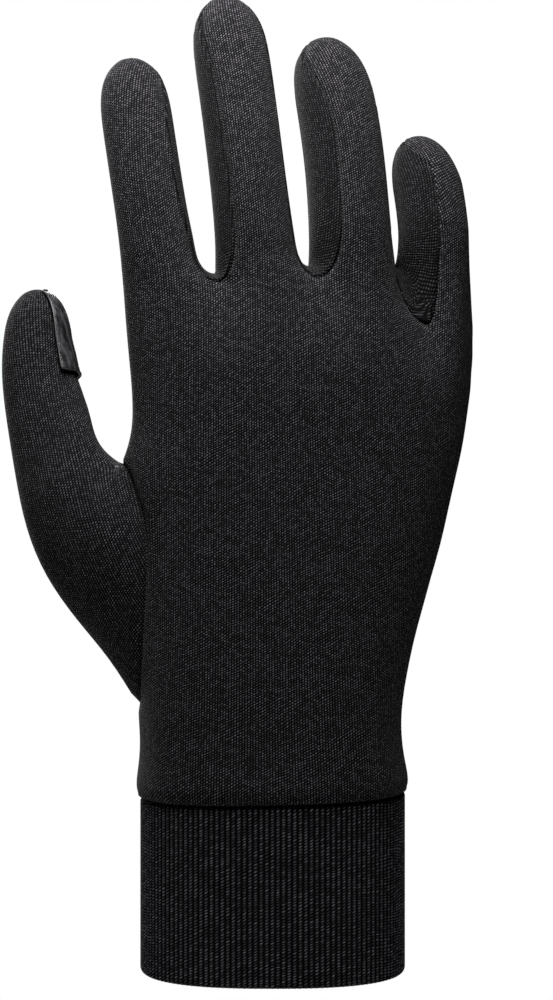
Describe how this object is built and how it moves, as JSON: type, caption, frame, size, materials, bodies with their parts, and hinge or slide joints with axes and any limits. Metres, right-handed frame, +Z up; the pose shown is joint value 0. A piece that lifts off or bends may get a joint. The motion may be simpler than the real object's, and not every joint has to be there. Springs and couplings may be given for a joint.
{
  "type": "glove liner",
  "caption": "Fine knitted black liner glove for the right hand, with set-in thumb, finger side strips, thumb touch pad and ribbed cuff.",
  "frame": {"origin": "centre of the wrist opening, in the plane of the cuff's lower edge", "axes": "+Z up the hand towards the fingertips, the back of the hand faces -Y, the thumb is at -X"},
  "size_m": [0.1265, 0.0549, 0.255],
  "materials": {
    "jersey": "fine matt knit",
    "strip_jersey": "fine matt knit",
    "rib": "1 x 1 rib knit",
    "touch_pad": "smooth coated, semi-gloss"
  },
  "bodies": {
    "root": {"back_panel": "jersey", "palm_panel": "jersey", "fourchette_index_middle": "strip_jersey", "fourchette_middle_ring": "strip_jersey", "fourchette_ring_little": "strip_jersey", "thumb_panel": "jersey", "thumb_touch_pad": "touch_pad", "cuff": "rib"}
  },
  "joints": []
}
